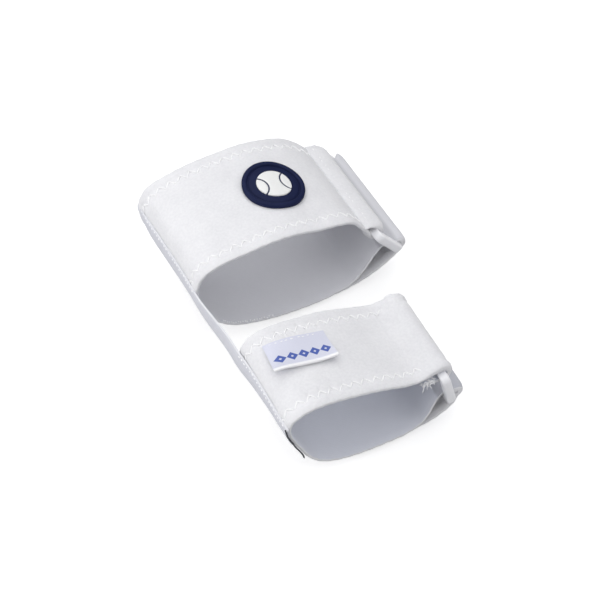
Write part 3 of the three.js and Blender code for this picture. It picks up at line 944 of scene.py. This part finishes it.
badge = turn_disc("rubber_badge", BADGE_PROFILE, DISC_SIDES)
badge.data.materials.append(badge_rubber)
lay_badge(badge)
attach(badge, "root")
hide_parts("badge")

device_rubber, tree, shader = new_finish("Device rubber", Specular_IOR_Level=0.4)
chalk = mould_skin(tree, shader, 3200.0, 300.0, roughness=(0.42, 0.6), depth=0.00008, strength=0.4)
white = blend_of(tree, chalk, (0.78, 0.79, 0.78, 1), (0.86, 0.86, 0.85, 1))
on_ball = flat_place(tree)
full, gone = (distance / UV_UNIT for distance in BALL_SEAM_FADE)
seams = []
for side in (1, -1):
    centre = (side * BALL_SEAM_CENTRE / UV_UNIT, 0, 0)
    off = add_node(tree, "ShaderNodeVectorMath", {0: on_ball, 1: centre}, operation="DISTANCE")
    past_seam = sum_of(tree, "SUBTRACT", off.outputs["Value"], BALL_SEAM_RADIUS / UV_UNIT)
    from_seam = sum_of(tree, "ABSOLUTE", past_seam)
    seams.append(range_of(tree, from_seam, 1.0, 0.0, full, gone))
seam_mask = sum_of(tree, "MAXIMUM", *seams)
colour_surface(tree, shader, blend_of(tree, seam_mask, white, (0.013, 0.019, 0.066, 1)))

ball = turn_disc("badge_device", BALL_EDGE + BALL_DOME, DISC_SIDES)
ball.data.materials.append(device_rubber)
points = points_of(ball)
for side in (1, -1):
    from_seam = np.abs(np.hypot(points[:, 0] - side * BALL_SEAM_CENTRE, points[:, 1]) - BALL_SEAM_RADIUS)
    in_seam = np.clip(1.5 - from_seam / BALL_SEAM_HALF, 0, 1) * (points[:, 2] > BALL_FACE)
    points[:, 2] -= BALL_SEAM_DEEP * in_seam
set_points(ball, points)
lay_badge(ball)
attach(ball, "root")
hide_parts("badge_emblem")


# The folded label on the narrow cuff
# A satin ribbon folded in two, with its fold standing off the cloth in front and its rear edge sewn down.
# A row of small blue lozenges is printed on it, and a painted highlight whitens the fold.
LABEL_PLACE = (-28.9, 53.7)
LABEL_FROM_REAR_EDGE = 19.2
LABEL_LENGTH = 29
LABEL_HEIGHT = 18
LABEL_TURN = math.radians(-5)
RIBBON_THICK = 0.24
FOLD_RADIUS = 0.8
FOLD_DRAWN_IN = 0.06
RIBBON_RUN = LABEL_HEIGHT - FOLD_RADIUS
RIBBON_LONG = 2 * RIBBON_RUN + math.pi * FOLD_RADIUS
LOZENGE_PITCH = 5.4
LOZENGE_HALF = 2.75
LOZENGE_FROM_SEAM = 11.8
LOZENGE_COUNT = 5
# Shares of a lozenge's half size over which its outside and its heart fade
LOZENGE_FADE = (0.94, 1.0)
HEART_FADE = (0.22, 0.28)
# Distances from the fold's middle over which its painted highlight fades
FOLD_HIGHLIGHT_FADE = (1.4, 2.2)
LABEL_STEPS = (62, 90)
# How the label stands off: sewn down at the rear, its fold lifted, more so at both ends and at the right
LABEL_SEAT = 0.3
LABEL_LIFT = 1.3
LABEL_LIFT_ENDS = 2.3
LABEL_LIFT_RIGHT = 1.5
LABEL_RIPPLE = 0.15
RIPPLE_LONG = 9
RIPPLE_WIDE = 12
RIPPLE_SEED = 4.2
SEWN_GAP = 0.18
LABEL_LEG = ((0, 0), (2.1, 0))
LABEL_PITCH = 2.6
LABEL_STITCHES = 10
LABEL_ROW_FROM = 1.7
LABEL_ROW_IN = 1.2
LABEL_ROW_UP = 0.36
label_at = small.near(*LABEL_PLACE)


def lay_label(piece, x, y, z):
    """Lays the label or its seam on the narrow strap, by its points' places from the label's middle."""
    turned_x = x * math.cos(LABEL_TURN) - y * math.sin(LABEL_TURN)
    turned_y = x * math.sin(LABEL_TURN) + y * math.cos(LABEL_TURN)
    laid = small.place(label_at + turned_x, LABEL_FROM_REAR_EDGE + turned_y, STRAP_THICK / 2 + z)
    set_points(piece, laid * MM)
    turn_outward(piece)


satin, tree, shader = new_finish("Printed satin", Specular_IOR_Level=0.5, Sheen_Weight=0.3, Anisotropic=0.5)
on_ribbon = flat_place(tree)
weft = place_effect(tree, rib_group, on_ribbon, Ribs=420.0, Picks=90.0)
flat_at = add_node(tree, "ShaderNodeSeparateXYZ", {0: on_ribbon})
cell = sum_of(tree, "DIVIDE", flat_at.outputs[0], LOZENGE_PITCH / UV_UNIT)
from_middle = sum_of(tree, "ABSOLUTE", sum_of(tree, "SUBTRACT", cell, sum_of(tree, "ROUND", cell)))
wide_share = sum_of(tree, "MULTIPLY", from_middle, LOZENGE_PITCH / LOZENGE_HALF)
rise = sum_of(tree, "ABSOLUTE", sum_of(tree, "SUBTRACT", flat_at.outputs[1], LOZENGE_FROM_SEAM / UV_UNIT))
out_share = sum_of(tree, "ADD", wide_share, sum_of(tree, "DIVIDE", rise, LOZENGE_HALF / UV_UNIT))
solid = range_of(tree, out_share, 1.0, 0.0, *LOZENGE_FADE)
heart = range_of(tree, out_share, 0.0, 1.0, *HEART_FADE)
in_row = sum_of(tree, "LESS_THAN", sum_of(tree, "ABSOLUTE", cell), LOZENGE_COUNT / 2)
print_mask = sum_of(tree, "MULTIPLY", sum_of(tree, "MULTIPLY", solid, heart), in_row)
thread_tone = blend_of(tree, weft.outputs["Rib"], (0.60, 0.62, 0.74, 1), (0.70, 0.71, 0.82, 1))
# Painted highlight: the satin is whitened along the fold's middle, where the fold catches the light
to_fold_middle = sum_of(tree, "ABSOLUTE", sum_of(tree, "SUBTRACT", flat_at.outputs[1], RIBBON_LONG / 2 / UV_UNIT))
painted_fold_highlight = range_of(tree, to_fold_middle, 1.0, 0.0, *(distance / UV_UNIT for distance in FOLD_HIGHLIGHT_FADE))
highlit_satin = blend_of(tree, painted_fold_highlight, thread_tone, (0.93, 0.93, 0.95, 1))
colour_surface(tree, shader, blend_of(tree, print_mask, highlit_satin, (0.045, 0.095, 0.40, 1)))
tree.links.new(range_of(tree, weft.outputs["Rib"], 0.48, 0.36), shader.inputs["Roughness"])
raise_surface(tree, shader, weft.outputs["Height"], 0.00005, 0.35)

label = cut_sheet("folded_label", (LABEL_LENGTH, RIBBON_LONG), LABEL_STEPS, (0, RIBBON_LONG / 2, 0))
apply_modifier(label, "SOLIDIFY", thickness=RIBBON_THICK, offset=0)
keep_flat_map(label)
x, run, skin = points_of(label).T
over = run < RIBBON_RUN
under = run > RIBBON_LONG - RIBBON_RUN
turn = np.clip((run - RIBBON_RUN) / FOLD_RADIUS, 0, math.pi)
round_fold = RIBBON_RUN + FOLD_RADIUS * np.sin(turn)
forward = np.where(over, run, np.where(under, RIBBON_LONG - run, round_fold))
out_y = np.where(over | under, 0, np.sin(turn))
out_z = np.where(over, 1, np.where(under, -1, np.cos(turn)))
ahead = np.clip(forward / LABEL_HEIGHT, 0, 1)
spots = zip(x / RIPPLE_LONG, forward / RIPPLE_WIDE)
ripple = np.array([noise.noise(Vector((a, b, RIPPLE_SEED))) for a, b in spots])
aside = 2 * x / LABEL_LENGTH
lift = LABEL_LIFT + LABEL_LIFT_ENDS * aside**2 + LABEL_LIFT_RIGHT * np.clip(aside, 0, 1) ** 2
middle = LABEL_SEAT + lift * ahead**1.5 + LABEL_RIPPLE * ripple * ahead
layer = SEWN_GAP + (FOLD_RADIUS - SEWN_GAP) * ahead**0.7
drawn_in = x * (1 - FOLD_DRAWN_IN * ahead)
lay_label(label, drawn_in, forward + out_y * skin - LABEL_HEIGHT / 2, middle + out_z * (layer + skin))
label.data.materials.append(satin)
bpy.ops.object.shade_smooth_by_angle(angle=math.radians(50))
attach(label, "root")
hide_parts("label")

label_row = sew_row("label_seam", (LABEL_LEG,), LABEL_PITCH, LABEL_STITCHES)
x, y, z = points_of(label_row).T
lay_label(
    label_row, x - LABEL_LENGTH / 2 + LABEL_ROW_FROM, y - LABEL_HEIGHT / 2 + LABEL_ROW_IN, LABEL_ROW_UP + z
)
label_row.data.materials.append(sewing_thread)
bpy.ops.object.shade_smooth()
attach(label_row, "root")


# The link band
# Woven white elastic, sewn flat along the side of both cuffs, with a free length across the gap between.
# Its rear end is cut on the slant and pressed thin, and a straight row of stitches holds each edge down.
BAND_WIDTH = 12.5
BAND_THICK = 0.9
BAND_REAR_END = 4.0
BAND_TAPER = 16.0
BAND_OVERHANG = 1.0
BAND_SEAT = 0.02
# The band bows in the gap, and lifts over the narrow cuff's hem, most of all a little in from its edge
BAND_BOW = 0.5
BAND_BOW_LEAN = 0.45
BAND_OVER_HEM = 0.95
HEM_IN = 1
HEM_REACH = 7
# Edges and rear end are pressed to these shares of the thickness, over these distances
BAND_EDGE_PRESSED = 0.5
BAND_EDGE_EASE = 1.6
BAND_END_PRESSED = 0.25
BAND_END_EASE = 12
# Each place is the mean of those at these steps along the band, which eases it over the cuffs' edges
BAND_EASING = (-4, -2.5, -1, 1, 2.5, 4)
BAND_ROUND = 0.38
BAND_STEPS = (150, 16)
# How far in from the edges the paler stripe along each edge starts and is full
PALE_EDGE_FADE = (1.2, 0.6)
BAND_ON_LARGE = (-53.5, 47)
BAND_ON_SMALL = (-48.7, 47.1)
band_rear = large.front_y + large.width
band_front = small.front_y - BAND_OVERHANG
band_long = band_rear - band_front
band_large_start = large.near(*BAND_ON_LARGE)
band_small_start = small.near(*BAND_ON_SMALL)


def band_at(x, y, z):
    """Where points of the flat band lie: x from its rear end, y up from its lower edge, z from its back."""
    taper = np.clip(x / BAND_TAPER, 0, 1)
    depth = (BAND_WIDTH - y) / BAND_WIDTH * (BAND_REAR_END + (BAND_WIDTH - BAND_REAR_END) * taper)
    world_y = band_rear - x
    gap_rear = large.front_y
    gap_front = small.front_y + small.width
    height = STRAP_THICK / 2 + BAND_SEAT + z
    from_large_rear = large.width - np.clip(world_y - gap_rear, 0, None)
    from_small_rear = np.clip(gap_front - world_y, 0, None)
    on_large = large.place(band_large_start + depth, from_large_rear, height)
    on_small = small.place(band_small_start + depth, from_small_rear, height)
    share = np.clip((gap_rear - world_y) / (gap_rear - gap_front), 0, 1)[:, None]
    point = on_large * (1 - share) + on_small * share
    point[:, 0] -= BAND_BOW * np.sin(np.pi * share[:, 0] ** BAND_BOW_LEAN)
    point[:, 0] -= BAND_OVER_HEM * np.exp(-(((gap_front - HEM_IN - world_y) / HEM_REACH) ** 2))
    point[:, 1] = world_y
    return point


def lay_band(piece):
    """Lays a flat piece where the band lies, easing it over the cuffs' edges."""
    x, y, z = points_of(piece).T
    from_edge = np.clip(np.minimum(y, BAND_WIDTH - y) / BAND_EDGE_EASE, 0, 1)
    from_end = np.clip(x / BAND_END_EASE, 0, 1)
    pressed_edge = BAND_EDGE_PRESSED + (1 - BAND_EDGE_PRESSED) * from_edge
    pressed_end = BAND_END_PRESSED + (1 - BAND_END_PRESSED) * from_end
    z = z * pressed_edge * pressed_end
    eased = [band_at(x + step, y, z) for step in BAND_EASING]
    laid = np.mean(eased, axis=0)
    laid[:, 1] = band_rear - x
    set_points(piece, laid * MM)
    turn_outward(piece)
    bpy.ops.object.shade_smooth_by_angle(angle=math.radians(50))


elastic, tree, shader = new_finish("Woven elastic", Roughness=0.75, Specular_IOR_Level=0.3, Sheen_Weight=0.2)
on_tape = flat_place(tree)
weave = place_effect(tree, rib_group, on_tape, Ribs=88.0, Picks=115.0)
pile = place_effect(tree, pile_group, own_place(tree), Clumps=500.0, Fibres=2600.0)
lilac = blend_of(tree, weave.outputs["Height"], (0.51, 0.52, 0.58, 1), (0.66, 0.67, 0.73, 1))
tape = blend_of(tree, pile.outputs["Shade"], lilac, (0.68, 0.685, 0.73, 1))
flat_at = add_node(tree, "ShaderNodeSeparateXYZ", {0: on_tape})
from_axis = sum_of(tree, "ABSOLUTE", sum_of(tree, "SUBTRACT", flat_at.outputs[1], BAND_WIDTH / 2 / UV_UNIT))
pale_edge_at = ((BAND_WIDTH / 2 - inset) / UV_UNIT for inset in PALE_EDGE_FADE)
pale_edge = range_of(tree, from_axis, 0.0, 1.0, *pale_edge_at)
# The tape is blended to a paler tint along both edges
colour_surface(tree, shader, blend_of(tree, pale_edge, tape, (0.76, 0.765, 0.80, 1)))
raise_surface(tree, shader, weave.outputs["Height"], 0.00016, 0.5)

band_middle = (band_long / 2, BAND_WIDTH / 2, BAND_THICK / 2)
band = cut_sheet("link_band_elastic", (band_long, BAND_WIDTH), BAND_STEPS, band_middle)
apply_modifier(band, "SOLIDIFY", thickness=BAND_THICK, offset=0)
round_edges(band, BAND_ROUND, segments=3, least_angle=60)
keep_flat_map(band)
lay_band(band)
band.data.materials.append(elastic)
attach(band, "root")
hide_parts("link_band")

BAND_STITCH = 1.8
BAND_PITCH = 2.4
BAND_ROW_SUNK = 0.3
LOWER_ROW = 1.3
UPPER_ROW = BAND_WIDTH - LOWER_ROW
BandRow = namedtuple("BandRow", "start count up")
BAND_ROWS = [
    BandRow(4, 24, UPPER_ROW),
    BandRow(103, 19, UPPER_ROW),
    BandRow(19, 18, LOWER_ROW),
    BandRow(103, 19, LOWER_ROW),
]
rows = []
for band_row in BAND_ROWS:
    leg = ((0, band_row.up), (BAND_STITCH, band_row.up))
    row = sew_row("row", (leg,), BAND_PITCH, band_row.count)
    set_points(row, points_of(row) + (band_row.start, 0, BAND_THICK - BAND_ROW_SUNK))
    lay_band(row)
    rows.append(row)
stitching = join_pieces("link_band_stitching", rows)
stitching.data.materials.append(sewing_thread)
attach(stitching, "root")


# The loose threads
# White threads fray out of the narrow cuff's cut end, which is tucked in under its upper fold. A dark thread
# end comes out under the link band's front end and lies along the cuff's rim. It is a loose thread, and it
# is
# also painted shade: it is drawn thick and near black to stand for the shadow under the band's end.
FRAY_COUNT = 38
FRAY_RADIUS = 0.19
FRAY_RINGS = 7
# The frayed threads start between these places on the flat strap, and go this way, each a little astray
FRAY_FROM = (0.2, 49.2, -0.9)
FRAY_TO = (7.5, 50.3, 0.9)
FRAY_WAY = (-0.95, -0.15, 0.2)
FRAY_ASTRAY = 0.3
FRAY_CURL = 0.45
FRAY_LONG = (1.3, 3.6)
FRAY_BENDS = 5
THREAD_TIP = 0.55
THREAD_UP = (0.3, 0.2, 0.93)
DARK_RADIUS = 0.42
DARK_RINGS = 26
ThreadPoint = namedtuple("ThreadPoint", "along from_rear above")
DARK_THREAD = [
    ThreadPoint(101.5, 50.4, 2.9),
    ThreadPoint(104.5, 51.4, 2.2),
    ThreadPoint(108, 51.7, 1.4),
    ThreadPoint(111.5, 51.6, 1.2),
    ThreadPoint(115, 51.2, 1.4),
    ThreadPoint(118.5, 50.7, 1.5),
    ThreadPoint(122.5, 50.5, 1.6),
    ThreadPoint(126, 50.5, 1.7),
    ThreadPoint(129.5, 50.3, 2.4),
]


def run_threads(name, lines, radius, rings):
    """Threads of the same make, each drawn out straight, and then bent along its own line."""
    thread = start_thread(radius)
    for ring in range(1, rings):
        bpy.ops.mesh.extrude_region_move(TRANSFORM_OT_translate={"value": (1, 0, 0)})
    bpy.ops.object.mode_set(mode="OBJECT")
    named(name)
    apply_modifier(thread, "ARRAY", count=len(lines))
    points = points_of(thread).reshape(len(lines), -1, 3)
    straight = points[0].copy()
    share = straight[:, 0] / (rings - 1)
    for run, line in zip(points, lines):
        at = np.round(share * ROUTE_STEPS).astype(int)
        along = np.gradient(line, axis=0)[at]
        along /= np.linalg.norm(along, axis=1)[:, None]
        aside = np.cross(along, THREAD_UP)
        aside /= np.linalg.norm(aside, axis=1)[:, None]
        shade_span_or_worn_tip = np.where(share == 1, THREAD_TIP, 1)[:, None]
        run[:] = line[at] + shade_span_or_worn_tip * (straight[:, 1:2] * aside + straight[:, 2:] * np.cross(along, aside))
    set_points(thread, points.reshape(-1, 3) * MM)
    turn_outward(thread)
    bpy.ops.object.shade_smooth()
    return thread


fraying = np.random.default_rng(23)
fray_lines = []
for strand in range(FRAY_COUNT):
    along, from_rear, above = fraying.uniform(FRAY_FROM, FRAY_TO)
    root = small.place(np.array([along]), np.array([from_rear]), np.array([above]))[0]
    way = np.array(FRAY_WAY) + fraying.normal(0, FRAY_ASTRAY, 3)
    curl = fraying.normal(0, FRAY_CURL, 3)
    long = fraying.uniform(*FRAY_LONG)
    steps = np.linspace(0, 1, FRAY_BENDS)[:, None]
    fray_lines.append(edge_line(root + long * (way * steps + curl * steps**2))[0])
frayed = run_threads("frayed_end_threads", fray_lines, FRAY_RADIUS, FRAY_RINGS)
frayed.data.materials.append(sewing_thread)
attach(frayed, "root")

# Painted shade in part: the dark thread is drawn thick and near black to stand for the shadow under the
# band's end
dark_thread = fibre_finish(
    "Dark thread", (0.025, 0.027, 0.032, 1), (0.075, 0.08, 0.09, 1), clumps=1500.0, fibres=5200.0,
    depth=0.0001, strength=0.6, Roughness=0.7, Sheen_Weight=0.1, Specular_IOR_Level=0.3,
)

dark_points = small.place(*np.array(DARK_THREAD, dtype=float).T)
dark_end = run_threads("dark_thread_end", [edge_line(dark_points)[0]], DARK_RADIUS, DARK_RINGS)
dark_end.data.materials.append(dark_thread)
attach(dark_end, "root")


# The studio
# A plain pale sweep under soft light from all round, brightest from above, and the photograph's camera.
FLOOR_DROP = 0.0002
FLOOR_GLOW = 0.56
bpy.ops.mesh.primitive_plane_add(size=6, location=(0, 0, -FLOOR_DROP))
floor = named("studio_floor")
bpy.ops.object.transform_apply()
floor_paint, tree, shader = new_finish("Studio floor", Base_Color=(0.65, 0.65, 0.65, 1), Roughness=0.9)
shader.inputs["Emission Color"].default_value = (1, 1, 1, 1)
seen = add_node(tree, "ShaderNodeLightPath").outputs["Is Camera Ray"]
tree.links.new(sum_of(tree, "MULTIPLY", seen, FLOOR_GLOW), shader.inputs["Emission Strength"])
floor.data.materials.append(floor_paint)

SKY_COLOUR = (0.95, 0.955, 1.0, 1)
SKY_STRENGTH = 0.23
world = bpy.data.worlds.new("Studio")
bpy.context.scene.world = world
world.use_nodes = True
sky = world.node_tree.nodes["Background"]
sky.inputs["Color"].default_value = SKY_COLOUR
sky.inputs["Strength"].default_value = SKY_STRENGTH

LAMP_TARGET = Vector((0, 0, 0.03))
Lamp = namedtuple("Lamp", "name place size power")
LAMPS = [
    Lamp("overhead_softbox", (0, 0, 1.0), 1.7, 9.8),
    Lamp("front_softbox", (0.6, -0.7, 0.7), 0.6, 2.2),
    Lamp("left_softbox", (-0.9, 0.1, 0.3), 0.6, 3.9),
    Lamp("rear_softbox", (0, 0.8, 0.8), 0.6, 2.2),
]
for lamp in LAMPS:
    bpy.ops.object.light_add(type="AREA", location=lamp.place)
    light = bpy.context.object
    light.name = lamp.name
    light.data.size = lamp.size
    light.data.energy = lamp.power
    light.rotation_euler = (LAMP_TARGET - Vector(lamp.place)).to_track_quat("-Z", "Y").to_euler()

CAMERA_AZIMUTH = math.radians(-26.96)
CAMERA_ELEVATION = math.radians(51.57)
CAMERA_TARGET = Vector((-0.00095, 0.01295, 0.01085))
CAMERA_DISTANCE = 0.9586
CAMERA_LENS = 118.7
CAMERA_SENSOR = 36
back = Vector(
    (
        math.sin(CAMERA_AZIMUTH) * math.cos(CAMERA_ELEVATION),
        -math.cos(CAMERA_AZIMUTH) * math.cos(CAMERA_ELEVATION),
        math.sin(CAMERA_ELEVATION),
    )
)
bpy.ops.object.camera_add(location=CAMERA_TARGET + back * CAMERA_DISTANCE)
camera = bpy.context.object
camera.rotation_euler = (-back).to_track_quat("-Z", "Y").to_euler()
camera.data.sensor_width = CAMERA_SENSOR
camera.data.lens = CAMERA_LENS
camera.data.clip_start = 0.01
bpy.context.scene.camera = camera
bpy.context.scene.view_settings.view_transform = "Standard"
